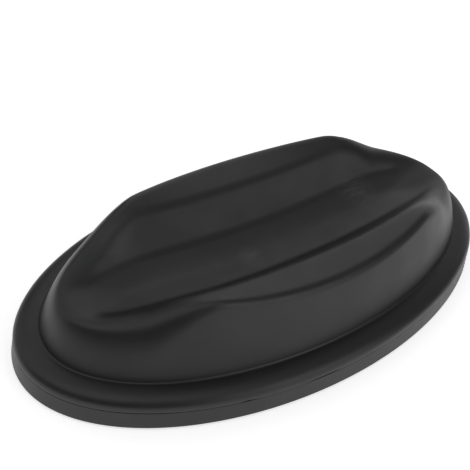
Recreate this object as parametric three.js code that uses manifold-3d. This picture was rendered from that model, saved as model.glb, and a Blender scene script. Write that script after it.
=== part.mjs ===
// A riser block that lifts the front wheel of a bike standing on a trainer.
// Two moulded shells meet on a seam round the rim. The upper one holds the tyre in a rounded channel
// between two ridges. The pan closes it from below, and stands on rubber feet pushed into it.
// Screws rise through the pan into the upper shell, whose ribs sit on the pan's ribs under the channel.
// Millimetres, +Z up. The origin is on the ground under the middle, and the channel runs along X.

import * as THREE from "three";
import { mergeVertices } from "three/addons/utils/BufferGeometryUtils.js";
import Module from "manifold-3d";

const wasm = await Module();
wasm.setup();

// The base's oval, widest at the pan's lower edge
const baseLength = 384;
const baseWidth = 206;
const standHeight = 1;
const seamHeight = 14.2;
const seamInset = 1.9;

// The rim's rounded shoulder and the flange inside it
const rimHeight = 22.9;
const shoulderInset = 2.2;
const shoulderDepth = 8;
const shoulderWidth = 13;
const humpInset = 18.4;
const humpFootHeight = 22.1;
const humpFootRounding = 1.2;

// The hump's drafted wall and its upper edge, high along the ridges and low round both ends
const wallDraftShare = 0.38;
const edgeHeight = 63.6;
const edgeArcRadius = 525;
const edgeRounding = 12;
const ridgeHalfLength = 81;
const ridgeFall = 46;
const lipHeight = 46;
const lipRiseShare = 0.23;
const lipHalfLength = 164;

// The channel: the crest where each ridge turns down, the floor where its sides end, and the rounded bed
const crestHeight = 58.8;
const crestArcRadius = 763;
const crestHalfLength = 152;
const crestRounding = 6;
const sideSpreadShare = 1.066;
const floorHeight = 39;
const floorArcRadius = 575;
const floorEaseStart = 84;
const floorEaseLength = 56;
const floorHalfWidth = 21.3;
const floorHalfLength = 147;
const floorRounding = 3;
const bedDepth = 5.2;
const bedHalfWidth = 10.6;
const bedHalfLength = 137;
const bedRounding = 20;
const channelPower = 6;
const spineHalfLength = 126;

// The most of a run that a corner's curve may take: towards a sharp corner, and towards a rounded one
const sharpShare = 0.95;
const roundShare = 0.48;

// The mouldings' walls, and how they lap at the seam
const wall = 3;
const clearance = 0.3;
const lapHeight = 3;
const panEdgeRounding = 1.6;

// The deck: the height of the pan's ribs and towers, where the upper shell's ribs and bosses sit
const deckHeight = 9.5;
const ribThickness = 2.5;
const upperRibSpacing = 40;
const upperRibs = 5;
const upperRibHalfLength = 104;
const upperRibHalfWidth = 56;
const panRibSpacing = 40;
const panGridInset = 38.5;

// The screws and what takes them
const screwRadius = 1.9;
const screwHeadRadius = 3.7;
const screwHeadHeight = 2.4;
const screwReach = 11;
const screwPoint = 2;
const bossRadius = 4.2;
const towerRadius = 6;
const towerWeb = 3;
const headRoom = 0.5;
const rimScrews = 8;
const rimScrewInset = 13;
const middleScrewPlace = 60;

// The rubber feet
const feet = 8;
const footInset = 25.5;
const footRadius = 9;
const footEdge = 1;
const footRecess = 1.3;
const stemRadius = 2.6;
const barbRadius = 3.9;
const barbHeight = 3.2;
const barbTipRadius = 1.8;

// How finely curves are cut, and how far cuts run past what they cut
const stepsRound = 72;
const holeSides = 14;
const screwSides = 10;
const footSides = 14;
const overrun = 1;

// The directions round the oval
const angles = Array.from({ length: stepsRound }, (_, j) => (2 * Math.PI * j) / stepsRound);

// A closed surface through rings of points, from a top that faces up, out and round to the underside
function skin(rings) {
  const faces = [];
  for (let i = 0; i + 1 < rings.length; i++) {
    for (let j = 0; j < stepsRound; j++) {
      const a = i * stepsRound + j;
      const b = i * stepsRound + ((j + 1) % stepsRound);
      faces.push(a, a + stepsRound, b + stepsRound, a, b + stepsRound, b);
    }
  }
  const geometry = new THREE.BufferGeometry();
  geometry.setFromPoints(rings.flat());
  geometry.setIndex(faces);
  return solid(geometry);
}

// A solid from a closed geometry: points that meet become one, and faces shrunk to a line go
function solid(geometry) {
  const bare = new THREE.BufferGeometry();
  bare.setAttribute("position", geometry.getAttribute("position"));
  bare.setIndex(geometry.getIndex());
  const merged = mergeVertices(bare);
  const index = merged.getIndex().array;
  const faces = [];
  for (let i = 0; i < index.length; i += 3) {
    const [a, b, c] = index.slice(i, i + 3);
    if (a !== b && b !== c && c !== a) {
      faces.push(a, b, c);
    }
  }
  const vertProperties = new Float32Array(merged.getAttribute("position").array);
  const triVerts = new Uint32Array(faces);
  return new wasm.Manifold(new wasm.Mesh({ numProp: 3, vertProperties, triVerts }));
}

// A mesh with flat faces from a solid
function meshOf(name, body, material) {
  const { vertProperties, triVerts } = body.getMesh();
  const geometry = new THREE.BufferGeometry();
  geometry.setAttribute("position", new THREE.Float32BufferAttribute(vertProperties, 3));
  geometry.setIndex(new THREE.Uint32BufferAttribute(triVerts, 1));
  const faceted = geometry.toNonIndexed();
  faceted.computeVertexNormals();
  const mesh = new THREE.Mesh(faceted, material);
  mesh.name = name;
  return mesh;
}

function joined(bodies) {
  return bodies.reduce((whole, body) => whole.add(body));
}

function without(body, cuts) {
  return cuts.reduce((rest, cut) => rest.subtract(cut), body);
}

// A point at one height on the base's oval, drawn in evenly by an inset
function ovalPoint(angle, inset, z) {
  const x = (baseLength / 2 - inset) * Math.cos(angle);
  const y = (baseWidth / 2 - inset) * Math.sin(angle);
  return new THREE.Vector3(x, y, z);
}

// How wide the channel is in one direction, as a signed share of its width there that squares its ends
function squaredShare(angle) {
  const share = (1 - Math.abs(Math.cos(angle)) ** channelPower) ** (1 / channelPower);
  return Math.sign(Math.sin(angle)) * share;
}

// The height of a shallow arc that is lowest in the middle
function arcHeight(middle, radius, x) {
  return middle + (x * x) / (2 * radius);
}

// How far a ridge has come down to the lip at a place along the block: none at 0, all at 1
function fallen(x) {
  return THREE.MathUtils.smoothstep(Math.abs(x), ridgeHalfLength, ridgeHalfLength + ridgeFall);
}

// The lip's height, which rises from the block's ends towards the ridges
function lipAt(x) {
  return lipHeight + lipRiseShare * (lipHalfLength - Math.abs(x));
}

// The hump's upper outer edge, which lies on its drafted wall
function edgePoint(angle) {
  const near = ovalPoint(angle, humpInset + wallDraftShare * (edgeHeight - humpFootHeight), 0);
  const ridge = arcHeight(edgeHeight, edgeArcRadius, near.x);
  const z = THREE.MathUtils.lerp(ridge, lipAt(near.x), fallen(near.x));
  return ovalPoint(angle, humpInset + wallDraftShare * (z - humpFootHeight), z);
}

// The height where the channel's sides end: an arc along the block, which eases out level towards both ends
function floorAt(x) {
  const past = THREE.MathUtils.clamp(Math.abs(x) - floorEaseStart, 0, floorEaseLength);
  const arc = arcHeight(floorHeight, floorArcRadius, Math.min(Math.abs(x), floorEaseStart));
  return arc + (floorEaseStart / floorArcRadius) * (past - past ** 2 / (2 * floorEaseLength));
}

// The crest, where the crown turns down into the channel. The mouth is wider where the channel is deeper
function crestPoint(angle) {
  const x = crestHalfLength * Math.cos(angle);
  const z = THREE.MathUtils.lerp(arcHeight(crestHeight, crestArcRadius, x), lipAt(x), fallen(x));
  const halfWidth = floorHalfWidth + sideSpreadShare * Math.max(z - floorAt(x), 0);
  return new THREE.Vector3(x, halfWidth * squaredShare(angle), z);
}

// The foot of the channel's sides, where the bed starts
function floorPoint(angle) {
  const x = floorHalfLength * Math.cos(angle);
  return new THREE.Vector3(x, floorHalfWidth * squaredShare(angle), floorAt(x));
}

// The corner that the rounded bed is drawn from, on each side of its middle
function bedPoint(angle) {
  const x = bedHalfLength * Math.cos(angle);
  return new THREE.Vector3(x, bedHalfWidth * squaredShare(angle), floorAt(x) - bedDepth);
}

// The middle line of the bed, where the rings close up
function spinePoint(angle) {
  const x = spineHalfLength * Math.cos(angle);
  return new THREE.Vector3(x, 0, floorAt(x) - bedDepth);
}

// A corner of the section, with its rounding back along the section and ahead, and the steps of its curve
function corner(at, back, ahead, steps, insideSteps) {
  return { at, back, ahead, steps, insideSteps };
}

// The upper shell's corners in one direction, from the seam up and in to the middle of the channel's bed
function skinCorners(angle) {
  return [
    corner(ovalPoint(angle, seamInset, seamHeight), 0, 0, 0, 0),
    corner(ovalPoint(angle, shoulderInset, rimHeight), shoulderDepth, shoulderWidth, 4, 2),
    corner(ovalPoint(angle, humpInset, humpFootHeight), humpFootRounding, humpFootRounding, 1, 0),
    corner(edgePoint(angle), edgeRounding, edgeRounding, 4, 2),
    corner(crestPoint(angle), crestRounding, crestRounding, 3, 0),
    corner(floorPoint(angle), floorRounding, floorRounding, 1, 0),
    corner(bedPoint(angle), bedRounding, bedRounding, 3, 0),
    corner(spinePoint(angle), 0, 0, 0, 0),
  ];
}

// A point on the way to the next corner, which may take most of the way only if that corner is sharp
function towards(from, to, length) {
  const most = to.steps === 0 ? sharpShare : roundShare;
  return from.at.clone().lerp(to.at, Math.min(length / from.at.distanceTo(to.at), most));
}

// The corners joined by straight runs, each rounded corner as a curve
function rounded(corners) {
  return corners.flatMap((here, i) => {
    if (here.steps === 0) {
      return [here.at];
    }
    const start = towards(here, corners[i - 1], here.back);
    const end = towards(here, corners[i + 1], here.ahead);
    return new THREE.QuadraticBezierCurve3(start, here.at, end).getPoints(here.steps);
  });
}

// The direction into the wall from one run of the section: how much level, how much up
function inward(from, to) {
  const run = Math.hypot(to.x - from.x, to.y - from.y);
  return new THREE.Vector2(to.z - from.z, -run).normalize();
}

// The same corners at a depth inside the wall, with every run kept parallel and the last corner lowered
function deeper(corners, depth) {
  return corners.map((here, i) => {
    if (i === corners.length - 1) {
      return corner(here.at.clone().setZ(here.at.z - depth), 0, 0, 0, 0);
    }
    const after = corners[i + 1].at;
    const before = i > 0 ? corners[i - 1].at : here.at;
    const second = inward(here.at, after);
    const first = i > 0 ? inward(before, here.at) : second;
    const move = first.clone().add(second).multiplyScalar(depth / (1 + first.dot(second)));
    const level = new THREE.Vector2(after.x - before.x, after.y - before.y).normalize();
    const at = here.at.clone().add(new THREE.Vector3(level.x * move.x, level.y * move.x, move.y));
    return corner(at, here.back - depth, here.ahead - depth, here.insideSteps, 0);
  });
}

// Rings round the block from a list of points in each direction
function ringsOf(pointsAt) {
  const lists = angles.map(pointsAt);
  return lists[0].map((_, i) => lists.map((list) => list[i]));
}

// The upper shell's inside, ended above the seam to leave room for the pan's tongue
function insideCorners(angle) {
  const corners = deeper(skinCorners(angle), wall);
  const [foot, next] = corners;
  foot.at.lerp(next.at, lapHeight / (next.at.z - foot.at.z));
  return corners;
}

// The upper shell's skin alone, from the floor out to the seam and back inside
function upperSkin() {
  const outside = ringsOf((angle) => rounded(skinCorners(angle))).reverse();
  const inside = ringsOf((angle) => rounded(insideCorners(angle)));
  const lap = [seamHeight, seamHeight + lapHeight].map((z) =>
    angles.map((angle) => ovalPoint(angle, seamInset + wall / 2, z)),
  );
  return skin([...outside, ...lap, ...inside]);
}

// The space under the middle of the shell's wall, down to just above the deck
function upperSpace() {
  const roof = ringsOf((angle) => rounded(deeper(skinCorners(angle), wall / 2))).reverse();
  const base = [seamInset + wall / 2, baseWidth / 2].map((inset) =>
    angles.map((angle) => ovalPoint(angle, inset, deckHeight + clearance)),
  );
  return skin([...roof, ...base]);
}

// An upright plate centred on a place, from one height to another
function plate(length, width, from, to, x, y) {
  const geometry = new THREE.BoxGeometry(length, width, to - from);
  geometry.translate(x, y, (from + to) / 2);
  return solid(geometry);
}

// An upright round bar
function bar(radius, from, to, { x, y }) {
  const geometry = new THREE.CylinderGeometry(radius, radius, to - from, holeSides);
  geometry.rotateX(Math.PI / 2);
  geometry.translate(x, y, (from + to) / 2);
  return solid(geometry);
}

// Evenly spaced places on both sides of the middle
function spread(count, spacing) {
  return Array.from({ length: count }, (_, i) => (i - (count - 1) / 2) * spacing);
}

// The screws' places: round the rim between the feet, and under the channel
const rimScrewPlaces = Array.from({ length: rimScrews }, (_, i) =>
  ovalPoint((2 * Math.PI * (i + 1 / 2)) / rimScrews, rimScrewInset, 0),
);
const middleScrewPlaces = [-1, 1].map((side) => new THREE.Vector3(side * middleScrewPlace, 0, 0));
const screwPlaces = [...rimScrewPlaces, ...middleScrewPlaces];
const screwSeat = deckHeight - towerWeb;

// The upper shell's ribs under the channel, and its screw bosses
function upperRibsAndBosses() {
  const high = edgeHeight + crestHeight;
  const low = deckHeight;
  const across = spread(upperRibs, upperRibSpacing).map((x) =>
    plate(ribThickness, 2 * upperRibHalfWidth, low, high, x, 0),
  );
  const along = [-1, 1].map((side) =>
    plate(2 * upperRibHalfLength, ribThickness, low, high, 0, side * floorHalfWidth),
  );
  const bosses = screwPlaces.map((place) => bar(bossRadius, low, high, place));
  return joined([...across, ...along, ...bosses]).intersect(upperSpace());
}

function upperShell() {
  const holes = screwPlaces.map((place) =>
    bar(screwRadius + clearance, deckHeight - overrun, screwSeat + screwReach + clearance, place),
  );
  return without(upperSkin().add(upperRibsAndBosses()), holes);
}

// The pan's skin: its floor, its wall with the tongue inside the lap, and its rounded lower edge
function panSkin() {
  const floorTop = standHeight + wall;
  const shelf = seamHeight - clearance;
  const tongueTop = shelf + lapHeight;
  const tongueInset = seamInset + wall / 2 + clearance;
  const insideInset = seamInset + wall;
  const edge = new THREE.QuadraticBezierCurve(
    new THREE.Vector2(0, standHeight + panEdgeRounding),
    new THREE.Vector2(0, standHeight),
    new THREE.Vector2(panEdgeRounding, standHeight),
  );
  const section = [
    [baseWidth / 2, floorTop],
    [insideInset, floorTop],
    [insideInset, tongueTop],
    [tongueInset, tongueTop],
    [tongueInset, shelf],
    [seamInset, shelf],
    ...edge.getPoints(2).map((p) => p.toArray()),
    [baseWidth / 2, standHeight],
  ];
  return skin(section.map(([inset, z]) => angles.map((angle) => ovalPoint(angle, inset, z))));
}

// The grid of ribs on the pan's floor, kept inside an oval clear of the feet
function panRibs() {
  const low = standHeight + wall / 2;
  const halfLength = baseLength / 2 - panGridInset;
  const halfWidth = baseWidth / 2 - panGridInset;
  const places = (reach) => spread(2 * Math.floor(reach / panRibSpacing) + 1, panRibSpacing);
  const across = places(halfLength).map((x) =>
    plate(ribThickness, baseWidth, low, deckHeight, x, 0),
  );
  const along = places(halfWidth).map((y) => plate(baseLength, ribThickness, low, deckHeight, 0, y));
  const rim = [baseWidth / 2, panGridInset, panGridInset, baseWidth / 2];
  const heights = [deckHeight, deckHeight, low, low];
  const oval = skin(rim.map((inset, i) => angles.map((angle) => ovalPoint(angle, inset, heights[i]))));
  return joined([...across, ...along]).intersect(oval);
}

// The feet's places, with one at each end and side
const footPlaces = Array.from({ length: feet }, (_, i) =>
  ovalPoint((2 * Math.PI * i) / feet, footInset, 0),
);

function pan() {
  const low = standHeight - overrun;
  const towers = screwPlaces.map((place) => bar(towerRadius, standHeight + wall / 2, deckHeight, place));
  const cuts = [
    ...screwPlaces.map((place) => bar(screwHeadRadius + headRoom, low, screwSeat, place)),
    ...screwPlaces.map((place) => bar(screwRadius + clearance, low, deckHeight + overrun, place)),
    ...footPlaces.map((place) => bar(footRadius + clearance, low, standHeight + footRecess, place)),
    ...footPlaces.map((place) => bar(stemRadius + clearance, low, deckHeight, place)),
  ];
  return without(joined([panSkin(), panRibs(), ...towers]), cuts);
}

// A turned piece from its outline of radius and height, from the axis at its foot round to its top
function turned(outline, sides, { x, y }) {
  const geometry = new THREE.LatheGeometry(outline.map((p) => new THREE.Vector2(...p)), sides);
  geometry.rotateX(Math.PI / 2);
  geometry.translate(x, y, 0);
  return solid(geometry);
}

// A pan-head screw, driven up from below
function screw(place) {
  const bearing = screwSeat - clearance;
  const foot = bearing - screwHeadHeight;
  const tip = screwSeat + screwReach;
  const outline = [
    [0, foot],
    [screwHeadRadius / 2, foot],
    [screwHeadRadius, foot + screwHeadHeight / 2],
    [screwHeadRadius, bearing],
    [screwRadius, bearing],
    [screwRadius, tip - screwPoint],
    [0, tip],
  ];
  return turned(outline, screwSides, place);
}

// A rubber foot: its pad in the pan's recess, its stem through the floor and the barb that holds it
function foot(place) {
  const padTop = standHeight + footRecess - clearance;
  const barbFoot = standHeight + wall + clearance;
  const barbTop = barbFoot + barbHeight;
  const outline = [
    [0, 0],
    [footRadius - footEdge, 0],
    [footRadius, footEdge],
    [footRadius, padTop],
    [stemRadius, padTop],
    [stemRadius, barbFoot],
    [barbRadius, barbFoot],
    [barbTipRadius, barbTop],
    [0, barbTop],
  ];
  return turned(outline, footSides, place);
}

// Materials
const charcoal = new THREE.MeshStandardMaterial({ color: 0x27282b, roughness: 0.5, metalness: 0 });
const darkCharcoal = new THREE.MeshStandardMaterial({ color: 0x222326, roughness: 0.55, metalness: 0 });
const steel = new THREE.MeshStandardMaterial({ color: 0x9a9da1, roughness: 0.35, metalness: 1 });
const rubber = new THREE.MeshStandardMaterial({ color: 0x161617, roughness: 0.9, metalness: 0 });

const riser = new THREE.Group();
riser.add(meshOf("upper_shell", upperShell(), charcoal));
riser.add(meshOf("base_pan", pan(), darkCharcoal));
screwPlaces.forEach((place, i) => riser.add(meshOf(`base_screw_${i + 1}`, screw(place), steel)));
footPlaces.forEach((place, i) => riser.add(meshOf(`rubber_foot_${i + 1}`, foot(place), rubber)));

export default riser;
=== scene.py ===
"""A riser block for the front wheel of a bike on a trainer, dressed over its solids.

Both mouldings are made again finely, on the same corner lines as the solids, with the rounding of the
hump and its channel worked out more closely. The screws get cross recesses and the feet their treads.
All pieces belong to the one body, because nothing on the block moves.
"""
import math
import bmesh
import bpy
import numpy as np
from mathutils import Matrix, Vector

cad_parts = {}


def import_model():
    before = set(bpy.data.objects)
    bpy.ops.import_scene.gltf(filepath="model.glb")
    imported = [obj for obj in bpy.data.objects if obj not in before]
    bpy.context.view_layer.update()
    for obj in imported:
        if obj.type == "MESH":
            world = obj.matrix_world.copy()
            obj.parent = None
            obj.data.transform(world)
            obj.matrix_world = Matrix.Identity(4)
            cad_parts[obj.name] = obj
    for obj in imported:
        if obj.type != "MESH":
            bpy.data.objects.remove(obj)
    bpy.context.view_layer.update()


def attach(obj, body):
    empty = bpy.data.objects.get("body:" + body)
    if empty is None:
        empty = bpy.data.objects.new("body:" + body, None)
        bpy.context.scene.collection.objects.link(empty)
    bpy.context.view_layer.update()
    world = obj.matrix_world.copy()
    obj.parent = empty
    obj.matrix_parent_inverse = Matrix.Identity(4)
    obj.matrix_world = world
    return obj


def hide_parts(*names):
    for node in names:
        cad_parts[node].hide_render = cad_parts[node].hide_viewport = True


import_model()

# Sizes are in millimetres, and one of these is this many metres
MM = 0.001

# The base's oval, widest at the pan's lower edge
BASE_LENGTH = 384
BASE_WIDTH = 206
STAND_HEIGHT = 1
SEAM_HEIGHT = 14.2
SEAM_INSET = 1.9

# The rim's rounded shoulder and the flange inside it
RIM_HEIGHT = 22.9
SHOULDER_INSET = 2.2
SHOULDER_DEPTH = 8
SHOULDER_WIDTH = 13
HUMP_INSET = 18.4
HUMP_FOOT_HEIGHT = 22.1
HUMP_FOOT_ROUNDING = 1.2

# The hump's drafted wall and its upper edge, high along the ridges and low round both ends
WALL_DRAFT_SHARE = 0.38
EDGE_HEIGHT = 62.6
EDGE_ARC_RADIUS = 525
EDGE_ROUNDING = 6
END_WALL_ROUNDING = 22
END_LIP_ROUNDING = 12
RIDGE_HALF_LENGTH = 81
RIDGE_FALL = 46
LIP_HEIGHT = 46
LIP_RISE_SHARE = 0.23
LIP_HALF_LENGTH = 164

# The channel: the crest where each ridge turns down, the floor where its sides end, and the rounded bed
CREST_HEIGHT = 58.8
CREST_ARC_RADIUS = 763
CREST_HALF_LENGTH = 152
CREST_ROUNDING = 5
END_CREST_ROUNDING = 13
SIDE_SPREAD_SHARE = 0.83
FLOOR_HEIGHT = 36
FLOOR_ARC_RADIUS = 575
FLOOR_EASE_START = 84
FLOOR_EASE_LENGTH = 34
FLOOR_HALF_WIDTH = 23
FLOOR_HALF_LENGTH = 137
FLOOR_ROUNDING = 5
BED_DEPTH = 3.4
BED_HALF_WIDTH = 6
BED_HALF_LENGTH = 122
BED_ROUNDING = 16
CHANNEL_POWER = 4
SPINE_HALF_LENGTH = 106

# Between two corners: how much of the run both curves may fill, and how much each may always take
SHARP_SHARE = 0.95
ROUND_SHARE = 0.48

# The mouldings' walls and how they meet at the seam
WALL = 3
CLEARANCE = 0.3
LAP_HEIGHT = 3
PAN_EDGE_ROUNDING = 1.6
SEAM_BEVEL = 0.2

# Where the seam gapes: from and to in degrees round the oval, and how far it opens
SLITS = [
    (214, 229, 0.15),
    (242, 246, 0.9),
    (257, 265, 0.8),
]
SLIT_END = 2
GAPE_REACH = 5

# The screws, which bear under webs below the deck, with a cross recess in each head, and the wells below
DECK_HEIGHT = 9.5
SCREW_RADIUS = 1.9
HEAD_RADIUS = 3.7
HEAD_HEIGHT = 2.4
HEAD_EDGE = 0.2
SCREW_REACH = 11
SCREW_POINT = 2
RECESS_WIDTH = 1
RECESS_LENGTH = 4.2
RECESS_DEPTH = 1.5
RECESS_TIP_SHARE = 0.5
TOWER_WEB = 3
HEAD_ROOM = 0.5
RIM_SCREWS = 8
RIM_SCREW_INSET = 13
RIM_SCREW_TURN_SHARE = 0.5
MIDDLE_SCREW_PLACE = 60

# The rubber feet with rings on their treads
FEET = 8
FOOT_INSET = 25.5
FOOT_RADIUS = 9
FOOT_EDGE = 1
FOOT_RECESS = 1.3
STEM_RADIUS = 2.6
BARB_RADIUS = 3.9
BARB_HEIGHT = 3.2
BARB_TIP_RADIUS = 1.8
TREAD_RINGS = [2.2, 4.4, 6.6]
TREAD_WIDTH = 1
TREAD_DEPTH = 0.5

# How finely curves are cut, and how far cuts run past what they cut
STEPS_ROUND = 360
CURVE_STEPS = 8
RUN_STEPS = 6
TURNED_SIDES = 48
OVERRUN = 1

# How close points become one, the most sides of a face, and the angle in degrees of an edge that stays sharp
MERGE_GAP = 0.001
MOST_SIDES = 4
SHARP_ANGLE = 32

# Each noise: how many of its cells lie along a metre, and its detail
PLASTIC_CLOUDS = (14, 2)
PLASTIC_SHEEN = (45, 3)
PLASTIC_WAVES = (40, 2)
PLASTIC_GRAIN = (1500, 2)
STEEL_CLOUDS = (400, 2)
STEEL_SHEEN = (1800, 3)
STEEL_GRAIN = (3000, 2)
RUBBER_CLOUDS = (220, 4)
RUBBER_SHEEN = (500, 2)
RUBBER_GRAIN = (2500, 3)

# The middle range of a noise, which is spread over the whole range of a look
NOISE_LOW = 0.3
NOISE_HIGH = 0.7

# How high each bump stands, in metres
PLASTIC_WAVE_HEIGHT = 0.00006
PLASTIC_GRAIN_HEIGHT = 0.00002
STEEL_GRAIN_HEIGHT = 0.00001
RUBBER_GRAIN_HEIGHT = 0.00004

# The darker and lighter colour of each finish, and its roughness
SHELL_COLOURS = ((0.0055, 0.0057, 0.0062), (0.0067, 0.0070, 0.0076))
PAN_COLOURS = ((0.0050, 0.0052, 0.0057), (0.0062, 0.0065, 0.0071))
STEEL_COLOURS = ((0.42, 0.42, 0.41), (0.56, 0.56, 0.55))
RUBBER_COLOURS = ((0.012, 0.012, 0.012), (0.028, 0.027, 0.026))
SHELL_ROUGHNESS = 0.42
PAN_ROUGHNESS = 0.46
PLASTIC_ROUGHNESS_SPREAD = 0.04
STEEL_ROUGHNESS = (0.24, 0.42)
RUBBER_ROUGHNESS = (0.72, 0.88)
PLASTIC_IOR = 1.5

# Scuffed places on the upper moulding: the middle, how far it spreads, and how pale its streaks are
SCUFFS = [
    ((-86, 51, 59), 11, 0.9),
    ((-23, -4, 34), 12, 0.7),
    ((90, 14, 37), 18, 0.6),
]
SCUFF_COLOUR = (0.07, 0.07, 0.072)
STREAKS = (1, 2)
STREAKS_ALONG = 90
STREAKS_ACROSS = 900

# The camera: its bearing, height and tilt in degrees, what it looks at, its distance and its lens
CAMERA_BEARING = -39.92
CAMERA_ELEVATION = 41.5
CAMERA_ROLL = 8.58
CAMERA_AIM = (-14.4, 27.37, 25)
CAMERA_DISTANCE = 505
CAMERA_LENS = 52.4
CAMERA_SENSOR = 36

# The studio: its floor, how much that glows where it is seen, and the even light all round
STUDIO_FLOOR_SIZE = 12000
STUDIO_FLOOR_COLOUR = (0.8, 0.8, 0.8, 1)
STUDIO_FLOOR_GLOW = 0.6
WORLD_COLOUR = (1, 1, 1, 1)
WORLD_LEVEL = 0.2

# Each soft lamp: its bearing and height in degrees, its width and height in metres, and its watts
LAMPS = [
    ("back_left_lamp", 225, 35, 1.2, 1.4, 2.6),
    ("left_lamp", 275, 60, 1, 0.9, 1.8),
    ("top_lamp", 340, 82, 0.9, 0.9, 1.5),
    ("front_lamp", 12, 15, 1, 0.7, 1.9),
    ("front_high_lamp", 20, 38, 0.9, 0.8, 2.9),
    ("right_lamp", 108, 14, 1, 0.65, 1.3),
    ("right_high_lamp", 85, 62, 0.9, 0.8, 0.2),
    ("back_right_lamp", 145, 40, 1, 0.9, 1.6),
    ("low_back_lamp", 148, 14, 0.9, 0.65, 0.7),
    ("back_lamp", 178, 56, 0.9, 0.8, 0.9),
]
LAMP_DISTANCE = 1.4

# The directions round the oval
ANGLES = np.arange(STEPS_ROUND) * 2 * np.pi / STEPS_ROUND


# Shapes round the block

def points(x, y, z):
    """Points from their coordinates, any of which may be one number for all."""
    return np.stack(np.broadcast_arrays(x, y, z), axis=-1).astype(float)


def mixed(start, end, share):
    return start + (end - start) * share


def smooth(value, low, high):
    """A smooth step: none at the low value, all at the high one."""
    share = np.clip((value - low) / (high - low), 0, 1)
    return share * share * (3 - 2 * share)


def oval(inset, z, angles=ANGLES):
    """Points at one height on the base's oval, drawn in evenly by an inset."""
    length = BASE_LENGTH / 2 - inset
    width = BASE_WIDTH / 2 - inset
    return points(length * np.cos(angles), width * np.sin(angles), z)


def squared_share():
    """How wide the channel is in each direction, as a signed share that squares its ends."""
    share = (1 - np.abs(np.cos(ANGLES)) ** CHANNEL_POWER) ** (1 / CHANNEL_POWER)
    return np.sign(np.sin(ANGLES)) * share


def arc_height(middle, radius, x):
    """The height of a shallow arc that is lowest in the middle."""
    return middle + x * x / (2 * radius)


def fallen(x):
    """How far a ridge has come down to the lip: none at 0, all at 1."""
    return smooth(np.abs(x), RIDGE_HALF_LENGTH, RIDGE_HALF_LENGTH + RIDGE_FALL)


def lip(x):
    """The lip's height, which rises from the block's ends towards the ridges."""
    return LIP_HEIGHT + LIP_RISE_SHARE * (LIP_HALF_LENGTH - np.abs(x))


def edge_line():
    """The hump's upper outer edge, which lies on its drafted wall."""
    near_inset = HUMP_INSET + WALL_DRAFT_SHARE * (EDGE_HEIGHT - HUMP_FOOT_HEIGHT)
    x = oval(near_inset, 0)[:, 0]
    z = mixed(arc_height(EDGE_HEIGHT, EDGE_ARC_RADIUS, x), lip(x), fallen(x))
    return oval(HUMP_INSET + WALL_DRAFT_SHARE * (z - HUMP_FOOT_HEIGHT), z)


def floor_height(x):
    """The height where the sides end: an arc along the block, which eases out level towards the ends."""
    slope = FLOOR_EASE_START / FLOOR_ARC_RADIUS
    past = np.clip(np.abs(x) - FLOOR_EASE_START, 0, FLOOR_EASE_LENGTH)
    arc = arc_height(FLOOR_HEIGHT, FLOOR_ARC_RADIUS, np.minimum(np.abs(x), FLOOR_EASE_START))
    return arc + slope * (past - past ** 2 / (2 * FLOOR_EASE_LENGTH))


def crest_line():
    """The crest, where the crown turns down. The mouth is wider where the channel is deeper."""
    x = CREST_HALF_LENGTH * np.cos(ANGLES)
    z = mixed(arc_height(CREST_HEIGHT, CREST_ARC_RADIUS, x), lip(x), fallen(x))
    half_width = FLOOR_HALF_WIDTH + SIDE_SPREAD_SHARE * np.maximum(z - floor_height(x), 0)
    return points(x, half_width * squared_share(), z)


def floor_line():
    """The foot of the channel's sides, where the bed starts."""
    x = FLOOR_HALF_LENGTH * np.cos(ANGLES)
    return points(x, FLOOR_HALF_WIDTH * squared_share(), floor_height(x))


def bed_line():
    """The corner that the rounded bed is drawn from, on each side of its middle."""
    x = BED_HALF_LENGTH * np.cos(ANGLES)
    return points(x, BED_HALF_WIDTH * squared_share(), floor_height(x) - BED_DEPTH)


def spine_line():
    """The middle line of the bed, where the rings close up."""
    x = SPINE_HALF_LENGTH * np.cos(ANGLES)
    return points(x, 0, floor_height(x) - BED_DEPTH)


def seam_gape():
    """How far the seam stands open beyond its clearance, round the block."""
    degrees = np.degrees(ANGLES)
    rise = np.zeros(STEPS_ROUND)
    for start, end, height in SLITS:
        opened = smooth(degrees, start, start + SLIT_END) * (1 - smooth(degrees, end - SLIT_END, end))
        rise += height * opened
    return rise


def gaping(ring):
    """A ring of the upper moulding raised where the seam gapes: fully at the seam and less above it."""
    share = 1 - smooth(ring[:, 2], SEAM_HEIGHT, SEAM_HEIGHT + GAPE_REACH)
    return ring + points(0, 0, seam_gape() * share)


def rounding(line, along_ridges, round_ends):
    """How far a line of the hump is rounded, which changes where the ridges come down."""
    return mixed(along_ridges, round_ends, fallen(line[:, 0]))


# The section of the mouldings

def shell_corners():
    """The upper moulding's corners: each one's place, rounding back and ahead, and the steps of its curve."""
    wall_rounding = rounding(edge_line(), EDGE_ROUNDING, END_WALL_ROUNDING)
    lip_rounding = rounding(edge_line(), EDGE_ROUNDING, END_LIP_ROUNDING)
    crest_rounding = rounding(crest_line(), CREST_ROUNDING, END_CREST_ROUNDING)
    return [
        (oval(SEAM_INSET, SEAM_HEIGHT + SEAM_BEVEL), 0, 0, 0),
        (oval(SHOULDER_INSET, RIM_HEIGHT), SHOULDER_DEPTH, SHOULDER_WIDTH, CURVE_STEPS),
        (oval(HUMP_INSET, HUMP_FOOT_HEIGHT), HUMP_FOOT_ROUNDING, HUMP_FOOT_ROUNDING, CURVE_STEPS),
        (edge_line(), wall_rounding, lip_rounding, CURVE_STEPS),
        (crest_line(), crest_rounding, crest_rounding, CURVE_STEPS),
        (floor_line(), FLOOR_ROUNDING, FLOOR_ROUNDING, CURVE_STEPS),
        (bed_line(), BED_ROUNDING, BED_ROUNDING, CURVE_STEPS),
        (spine_line(), 0, 0, 0),
    ]


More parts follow.
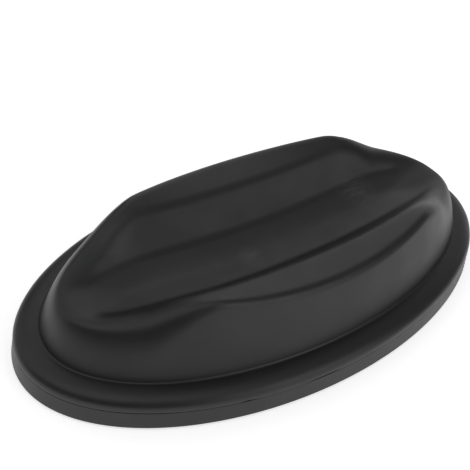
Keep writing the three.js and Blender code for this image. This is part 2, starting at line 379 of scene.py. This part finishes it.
def towards(here, there, length, there_length):
    """Points on the way to the next corner, which may take what that corner's curve leaves."""
    apart = np.linalg.norm(there - here, axis=1)
    most = np.maximum(SHARP_SHARE - there_length / apart, ROUND_SHARE)
    return mixed(here, there, np.minimum(length / apart, most)[:, None])


def curve_rings(corners, i):
    """The rings of one corner: its curve, or the corner itself where it is sharp."""
    at, back, ahead, steps = corners[i]
    if not steps:
        return [at]
    start = towards(at, corners[i - 1][0], back, corners[i - 1][2])
    end = towards(at, corners[i + 1][0], ahead, corners[i + 1][1])
    shares = np.linspace(0, 1, steps + 1)
    return [mixed(mixed(start, at, s), mixed(at, end, s), s) for s in shares]


def run_rings(start, end):
    """The rings of a straight run between two curves, without its ends."""
    return [mixed(start, end, i / RUN_STEPS) for i in range(1, RUN_STEPS)]


def section_rings(corners):
    """All the rings from the first corner to the last."""
    curves = [curve_rings(corners, i) for i in range(len(corners))]
    rings = list(curves[0])
    for before, after in zip(curves, curves[1:]):
        rings += run_rings(before[-1], after[0]) + after
    return rings


def inward(start, end):
    """The direction into the wall from one run of the section: how much level, how much up."""
    run = np.hypot(*(end - start).T[:2])
    way = np.stack([end[:, 2] - start[:, 2], -run], axis=-1)
    return way / np.linalg.norm(way, axis=1)[:, None]


def deeper(corners, depth):
    """The corners at a depth inside the wall, each run kept parallel and the last corner only lowered."""
    at = [corner[0] for corner in corners]
    inner = []
    for i, (here, back, ahead, steps) in enumerate(corners[:-1]):
        second = inward(here, at[i + 1])
        first = inward(at[i - 1], here) if i else second
        move = (first + second) * (depth / (1 + (first * second).sum(axis=1)))[:, None]
        level = (at[i + 1] - at[max(i - 1, 0)])[:, :2]
        level = level / np.linalg.norm(level, axis=1)[:, None]
        moved = here + points(level[:, 0] * move[:, 0], level[:, 1] * move[:, 0], move[:, 1])
        kept = steps if np.all(np.asarray(back) > depth) else 0
        inner.append((moved, np.maximum(back - depth, 0), np.maximum(ahead - depth, 0), kept))
    return [*inner, (at[-1] - points(0, 0, depth), 0, 0, 0)]


def lap_rings():
    """The upper moulding's lower edge and the step that takes the pan's tongue."""
    step_inset = SEAM_INSET + WALL / 2
    return [
        gaping(oval(SEAM_INSET + SEAM_BEVEL, SEAM_HEIGHT)),
        gaping(oval(step_inset, SEAM_HEIGHT)),
        oval(step_inset, SEAM_HEIGHT + LAP_HEIGHT),
    ]


def inside_rings(corners):
    """The upper moulding's inside, ended above the seam to leave room for the pan's tongue."""
    inner = deeper(corners, WALL)
    foot, above = inner[0][0], inner[1][0]
    share = (LAP_HEIGHT - SEAM_BEVEL) / (above - foot)[:, 2]
    inner[0] = (mixed(foot, above, share[:, None]), 0, 0, 0)
    return section_rings(inner)


def pan_rings():
    """The pan's section: its floor, its wall with the tongue inside the lap, and its rounded lower edge."""
    floor_top = STAND_HEIGHT + WALL
    shelf = SEAM_HEIGHT - CLEARANCE
    tongue = SEAM_INSET + WALL / 2 + CLEARANCE
    section = [
        (BASE_WIDTH / 2, floor_top),
        (SEAM_INSET + WALL, floor_top),
        (SEAM_INSET + WALL, shelf + LAP_HEIGHT),
        (tongue, shelf + LAP_HEIGHT),
        (tongue, shelf),
        (SEAM_INSET + SEAM_BEVEL, shelf),
        (SEAM_INSET, shelf - SEAM_BEVEL),
    ]
    for share in np.linspace(0, 1, CURVE_STEPS + 1):
        drop = PAN_EDGE_ROUNDING * (1 - share) ** 2
        section.append((PAN_EDGE_ROUNDING * share ** 2, STAND_HEIGHT + drop))
    section.append((BASE_WIDTH / 2, STAND_HEIGHT))
    return [oval(inset, z) for inset, z in section]


# Meshes

def mesh_object(name, vertices, faces):
    """An object in the scene from points in millimetres and the faces between them."""
    mesh = bpy.data.meshes.new(name)
    mesh.from_pydata((np.asarray(vertices) * MM).tolist(), [], faces)
    piece = bpy.data.objects.new(name, mesh)
    bpy.context.scene.collection.objects.link(piece)
    return piece


def close_up(piece):
    """Many-sided faces are split, points that meet become one, and faces shrunk to nothing go."""
    form = bmesh.new()
    form.from_mesh(piece.data)
    many_sided = [face for face in form.faces if len(face.verts) > MOST_SIDES]
    bmesh.ops.triangulate(form, faces=many_sided)
    bmesh.ops.remove_doubles(form, verts=form.verts, dist=MERGE_GAP * MM)
    bmesh.ops.dissolve_degenerate(form, edges=form.edges, dist=MERGE_GAP * MM)
    bmesh.ops.recalc_face_normals(form, faces=form.faces)
    form.to_mesh(piece.data)
    form.free()
    return piece


def ring_object(name, rings, sides):
    """A closed surface through rings of points."""
    faces = []
    for i in range(len(rings) - 1):
        for j in range(sides):
            a = i * sides + j
            b = i * sides + (j + 1) % sides
            faces.append((a, a + sides, b + sides, b))
    return close_up(mesh_object(name, np.concatenate(rings), faces))


def turned_object(name, outline, place=(0, 0)):
    """A turned piece from its outline of radius and height."""
    around = np.arange(TURNED_SIDES) * 2 * np.pi / TURNED_SIDES
    x, y = place
    rings = [points(x + r * np.cos(around), y + r * np.sin(around), z) for r, z in outline]
    return ring_object(name, rings, TURNED_SIDES)


def block_object(name, width, length, low, high, top_share):
    """An upright block, narrower at its top by a share."""
    corners = [(-1, -1), (1, -1), (1, 1), (-1, 1)]
    levels = [(low, 1), (high, top_share)]
    vertices = [(x * width * s / 2, y * length * s / 2, z) for z, s in levels for x, y in corners]
    count = len(corners)
    sides = [(i, (i + 1) % count, (i + 1) % count + count, i + count) for i in range(count)]
    return mesh_object(name, vertices, [(3, 2, 1, 0), (4, 5, 6, 7), *sides])


def cut(piece, cutter):
    """Takes the cutter's solid out of the piece, and the cutter away."""
    modifier = piece.modifiers.new("cut", "BOOLEAN")
    modifier.operation = "DIFFERENCE"
    modifier.solver = "EXACT"
    modifier.object = cutter
    shaped = piece.evaluated_get(bpy.context.evaluated_depsgraph_get())
    piece.data = bpy.data.meshes.new_from_object(shaped)
    piece.modifiers.clear()
    bpy.data.objects.remove(cutter)


def finish_piece(piece, nodes, material):
    """Smooth shading that keeps sharp edges, the finish, and the nodes that the piece stands for."""
    mesh = piece.data
    mesh.materials.clear()
    mesh.materials.append(material)
    mesh.shade_smooth()
    mesh.set_sharp_from_angle(angle=math.radians(SHARP_ANGLE))
    weighted = piece.modifiers.new("even", "WEIGHTED_NORMAL")
    weighted.keep_sharp = True
    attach(piece, "root")
    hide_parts(*nodes)


# The pieces

def upper_moulding(material):
    """The outer skin from the channel's bed down to the seam, the lap, and the inside back up."""
    corners = shell_corners()
    outside = [gaping(ring) for ring in section_rings(corners)]
    rings = outside[::-1] + lap_rings() + inside_rings(corners)
    piece = ring_object("upper_moulding", rings, STEPS_ROUND)
    finish_piece(piece, ["upper_shell"], material)


def well(place, radius, top):
    """A round cutter up from under the pan."""
    low = STAND_HEIGHT - OVERRUN
    outline = [(0, low), (radius, low), (radius, top), (0, top)]
    return turned_object("well", outline, place[:2])


def lower_moulding(material, screw_places, foot_places):
    """The pan, with a blind well under each screw and a recess for each foot."""
    piece = ring_object("lower_moulding", pan_rings(), STEPS_ROUND)
    for place in screw_places:
        cut(piece, well(place, HEAD_RADIUS + HEAD_ROOM, STAND_HEIGHT + WALL - CLEARANCE))
    for place in foot_places:
        cut(piece, well(place, FOOT_RADIUS + CLEARANCE, STAND_HEIGHT + FOOT_RECESS))
    close_up(piece)
    finish_piece(piece, ["base_pan"], material)


def places_round(count, inset, turn):
    """Evenly spaced places on an oval, turned on by a share of their spacing."""
    around = (np.arange(count) + turn) * 2 * np.pi / count
    return oval(inset, 0, around)


def quarter_turn():
    """The angles of a quarter circle's points."""
    return np.linspace(0, math.pi / 2, CURVE_STEPS + 1)


def screw_mesh():
    """A pan-head screw with a domed head below and its point up."""
    seat = DECK_HEIGHT - TOWER_WEB
    bearing = seat - CLEARANCE
    foot = bearing - HEAD_HEIGHT
    tip = seat + SCREW_REACH
    dome = [(HEAD_RADIUS * math.sin(a), foot + HEAD_HEIGHT / 2 * (1 - math.cos(a))) for a in quarter_turn()]
    outline = [
        *dome,
        (HEAD_RADIUS, bearing - HEAD_EDGE),
        (HEAD_RADIUS - HEAD_EDGE, bearing),
        (SCREW_RADIUS, bearing),
        (SCREW_RADIUS, tip - SCREW_POINT),
        (0, tip),
    ]
    piece = turned_object("screw", outline)
    for width, length in ((RECESS_WIDTH, RECESS_LENGTH), (RECESS_LENGTH, RECESS_WIDTH)):
        low = foot - OVERRUN
        high = foot + RECESS_DEPTH
        cut(piece, block_object("recess", width, length, low, high, RECESS_TIP_SHARE))
    return close_up(piece)


def tread_outline():
    """The foot's underside from its middle out, with a groove for each ring."""
    tread = [(0, 0)]
    for ring in TREAD_RINGS:
        low = ring - TREAD_WIDTH / 2
        high = ring + TREAD_WIDTH / 2
        tread += [(low, 0), (low, TREAD_DEPTH), (high, TREAD_DEPTH), (high, 0)]
    return tread


def foot_mesh():
    """A rubber foot: its tread, its pad, its stem and the barb that holds it in the pan."""
    pad_top = STAND_HEIGHT + FOOT_RECESS - CLEARANCE
    barb_foot = STAND_HEIGHT + WALL + CLEARANCE
    barb_top = barb_foot + BARB_HEIGHT
    edge = [
        (FOOT_RADIUS - FOOT_EDGE * (1 - math.sin(a)), FOOT_EDGE * (1 - math.cos(a)))
        for a in quarter_turn()
    ]
    outline = [
        *tread_outline(),
        *edge,
        (FOOT_RADIUS, pad_top),
        (STEM_RADIUS, pad_top),
        (STEM_RADIUS, barb_foot),
        (BARB_RADIUS, barb_foot),
        (BARB_TIP_RADIUS, barb_top),
        (0, barb_top),
    ]
    return turned_object("foot", outline)


def repeated(pattern, name, node, places, material):
    """One piece at each place, each standing for its own node."""
    for i, place in enumerate(places):
        piece = bpy.data.objects.new(f"{name}_{i + 1}", pattern.data.copy())
        piece.location = Vector(place) * MM
        bpy.context.scene.collection.objects.link(piece)
        finish_piece(piece, [f"{node}_{i + 1}"], material)
    bpy.data.objects.remove(pattern)


# Materials

def add(tree, kind, values=None, **settings):
    """A node with its sockets set or linked, and its own settings."""
    node = tree.nodes.new(kind)
    for key, value in settings.items():
        setattr(node, key, value)
    for key, value in (values or {}).items():
        if isinstance(value, bpy.types.NodeSocket):
            tree.links.new(value, node.inputs[key])
        else:
            node.inputs[key].default_value = value
    return node


def new_material(name):
    material = bpy.data.materials.new(name)
    material.use_nodes = True
    tree = material.node_tree
    tree.nodes.clear()
    return material, tree


def surface(tree, values):
    """The tree's shader with its sockets set, as what is seen of the material."""
    shader = add(tree, "ShaderNodeBsdfPrincipled", values)
    add(tree, "ShaderNodeOutputMaterial", {"Surface": shader.outputs[0]})


def own_place(tree):
    """Where a point is on its piece."""
    return add(tree, "ShaderNodeTexCoord").outputs["Object"]


def noise(tree, place, scale, detail):
    values = {"Vector": place, "Scale": scale, "Detail": detail}
    return add(tree, "ShaderNodeTexNoise", values).outputs["Fac"]


def spread_over(tree, value, low, high):
    """A noise's middle range spread between two values."""
    values = {"Value": value, "From Min": NOISE_LOW, "From Max": NOISE_HIGH, "To Min": low, "To Max": high}
    return add(tree, "ShaderNodeMapRange", values).outputs["Result"]


def mixed_colour(tree, share, first, second):
    node = add(tree, "ShaderNodeMix", {"Factor": share}, data_type="RGBA")
    for key, value in (("A", first), ("B", second)):
        socket = [s for s in node.inputs if s.name == key and s.type == "RGBA"][0]
        if isinstance(value, bpy.types.NodeSocket):
            tree.links.new(value, socket)
        else:
            socket.default_value = (*value, 1)
    return [s for s in node.outputs if s.type == "RGBA"][0]


def clouded(tree, place, clouds, colours):
    """Two colours in soft clouds."""
    share = spread_over(tree, noise(tree, place, *clouds), 0, 1)
    return mixed_colour(tree, share, *colours)


def bump(tree, height, distance, normal=None):
    """A bump as high as the distance, laid over another one where that is given."""
    values = {"Height": height, "Distance": distance, "Strength": 1}
    if normal is not None:
        values["Normal"] = normal
    return add(tree, "ShaderNodeBump", values).outputs["Normal"]


def scuffed(tree, place, colour):
    """The colour with short pale streaks at each scuffed place."""
    scale = (STREAKS_ALONG, STREAKS_ACROSS, STREAKS_ACROSS)
    stretched = add(tree, "ShaderNodeVectorMath", {0: place, 1: scale}, operation="MULTIPLY").outputs[0]
    streaks = spread_over(tree, noise(tree, stretched, *STREAKS), 0, 1)
    for middle, reach, strength in SCUFFS:
        values = {0: place, 1: tuple(v * MM for v in middle)}
        away = add(tree, "ShaderNodeVectorMath", values, operation="DISTANCE").outputs["Value"]
        values = {"Value": away, "From Min": 0, "From Max": reach * MM, "To Min": strength, "To Max": 0}
        near = add(tree, "ShaderNodeMapRange", values).outputs["Result"]
        share = add(tree, "ShaderNodeMath", {0: near, 1: streaks}, operation="MULTIPLY").outputs[0]
        colour = mixed_colour(tree, share, colour, SCUFF_COLOUR)
    return colour


def plastic(name, colours, roughness, worn=False):
    """Moulded plastic: a fine grain over a faint waviness, blotches of sheen, and scuffs where it is worn."""
    material, tree = new_material(name)
    place = own_place(tree)
    body = clouded(tree, place, PLASTIC_CLOUDS, colours)
    if worn:
        body = scuffed(tree, place, body)
    glossy = roughness - PLASTIC_ROUGHNESS_SPREAD
    dull = roughness + PLASTIC_ROUGHNESS_SPREAD
    sheen = spread_over(tree, noise(tree, place, *PLASTIC_SHEEN), glossy, dull)
    waves = bump(tree, noise(tree, place, *PLASTIC_WAVES), PLASTIC_WAVE_HEIGHT)
    grain = bump(tree, noise(tree, place, *PLASTIC_GRAIN), PLASTIC_GRAIN_HEIGHT, waves)
    surface(tree, {"Base Color": body, "Roughness": sheen, "Normal": grain, "IOR": PLASTIC_IOR})
    return material


def plated_steel(name):
    """Plated steel: a cloudy sheen over a very fine grain."""
    material, tree = new_material(name)
    place = own_place(tree)
    body = clouded(tree, place, STEEL_CLOUDS, STEEL_COLOURS)
    sheen = spread_over(tree, noise(tree, place, *STEEL_SHEEN), *STEEL_ROUGHNESS)
    grain = bump(tree, noise(tree, place, *STEEL_GRAIN), STEEL_GRAIN_HEIGHT)
    surface(tree, {"Base Color": body, "Roughness": sheen, "Normal": grain, "Metallic": 1})
    return material


def rubber(name):
    """Rubber: dull, blotched and finely pitted."""
    material, tree = new_material(name)
    place = own_place(tree)
    body = clouded(tree, place, RUBBER_CLOUDS, RUBBER_COLOURS)
    sheen = spread_over(tree, noise(tree, place, *RUBBER_SHEEN), *RUBBER_ROUGHNESS)
    grain = bump(tree, noise(tree, place, *RUBBER_GRAIN), RUBBER_GRAIN_HEIGHT)
    surface(tree, {"Base Color": body, "Roughness": sheen, "Normal": grain})
    return material


# The studio

def seen_rays(tree):
    """1 for rays that show the background: straight from the camera, in gloss or through glass."""
    path = add(tree, "ShaderNodeLightPath")
    total = path.outputs["Is Camera Ray"]
    for name in ("Is Glossy Ray", "Is Transmission Ray"):
        total = add(tree, "ShaderNodeMath", {0: total, 1: path.outputs[name]}, operation="MAXIMUM").outputs[0]
    return total


def floor_material():
    """A pale floor that also glows where it is seen."""
    material, tree = new_material("pale_floor")
    diffuse = add(tree, "ShaderNodeBsdfDiffuse", {"Color": STUDIO_FLOOR_COLOUR})
    strength = add(tree, "ShaderNodeMath", {0: seen_rays(tree), 1: STUDIO_FLOOR_GLOW}, operation="MULTIPLY")
    glow = add(tree, "ShaderNodeEmission", {"Strength": strength.outputs[0]})
    both = add(tree, "ShaderNodeAddShader", {0: diffuse.outputs[0], 1: glow.outputs[0]})
    add(tree, "ShaderNodeOutputMaterial", {"Surface": both.outputs[0]})
    return material


def floor():
    half = STUDIO_FLOOR_SIZE / 2
    corners = [(-half, -half, 0), (half, -half, 0), (half, half, 0), (-half, half, 0)]
    piece = mesh_object("pale_floor", corners, [(0, 1, 2, 3)])
    piece.data.materials.append(floor_material())


def world():
    """Even light from all round."""
    made = bpy.data.worlds.new("studio")
    made.use_nodes = True
    tree = made.node_tree
    tree.nodes.clear()
    background = add(tree, "ShaderNodeBackground", {"Color": WORLD_COLOUR, "Strength": WORLD_LEVEL})
    add(tree, "ShaderNodeOutputWorld", {"Surface": background.outputs[0]})
    bpy.context.scene.world = made


def direction(bearing, elevation):
    """The way from the block at a bearing and a height in degrees."""
    a = math.radians(bearing)
    e = math.radians(elevation)
    return Vector((math.sin(a) * math.cos(e), -math.cos(a) * math.cos(e), math.sin(e)))


def lamp(name, bearing, elevation, width, height, power):
    """A soft lamp that faces the block."""
    data = bpy.data.lights.new(name, "AREA")
    data.shape = "RECTANGLE"
    data.size = width
    data.size_y = height
    data.energy = power
    piece = bpy.data.objects.new(name, data)
    way = direction(bearing, elevation)
    piece.location = way * LAMP_DISTANCE
    piece.rotation_euler = way.to_track_quat("Z", "Y").to_euler()
    bpy.context.scene.collection.objects.link(piece)


def camera():
    """The camera at the photograph's viewing angle, tilted as that one is."""
    a = math.radians(CAMERA_BEARING)
    r = math.radians(CAMERA_ROLL)
    back = direction(CAMERA_BEARING, CAMERA_ELEVATION)
    level = Vector((math.cos(a), math.sin(a), 0))
    upright = back.cross(level)
    right = level * math.cos(r) + upright * math.sin(r)
    up = upright * math.cos(r) - level * math.sin(r)
    data = bpy.data.cameras.new("camera")
    data.lens = CAMERA_LENS
    data.sensor_width = CAMERA_SENSOR
    piece = bpy.data.objects.new("camera", data)
    turn = Matrix((right, up, back)).transposed().to_4x4()
    spot = (Vector(CAMERA_AIM) + back * CAMERA_DISTANCE) * MM
    piece.matrix_world = Matrix.Translation(spot) @ turn
    bpy.context.scene.collection.objects.link(piece)
    bpy.context.scene.camera = piece


# The scene

camera()
bpy.context.scene.view_settings.view_transform = "Standard"
floor()
world()
for settings in LAMPS:
    lamp(*settings)

shell_plastic = plastic("charcoal_plastic", SHELL_COLOURS, SHELL_ROUGHNESS, worn=True)
pan_plastic = plastic("dark_charcoal_plastic", PAN_COLOURS, PAN_ROUGHNESS)
screw_steel = plated_steel("plated_steel")
foot_rubber = rubber("black_rubber")

rim_places = places_round(RIM_SCREWS, RIM_SCREW_INSET, RIM_SCREW_TURN_SHARE)
middle_places = points(np.array([-1, 1]) * MIDDLE_SCREW_PLACE, 0, 0)
screw_places = np.concatenate([rim_places, middle_places])
foot_places = places_round(FEET, FOOT_INSET, 0)

upper_moulding(shell_plastic)
lower_moulding(pan_plastic, screw_places, foot_places)
repeated(screw_mesh(), "pan_head_screw", "base_screw", screw_places, screw_steel)
repeated(foot_mesh(), "push_in_foot", "rubber_foot", foot_places, foot_rubber)
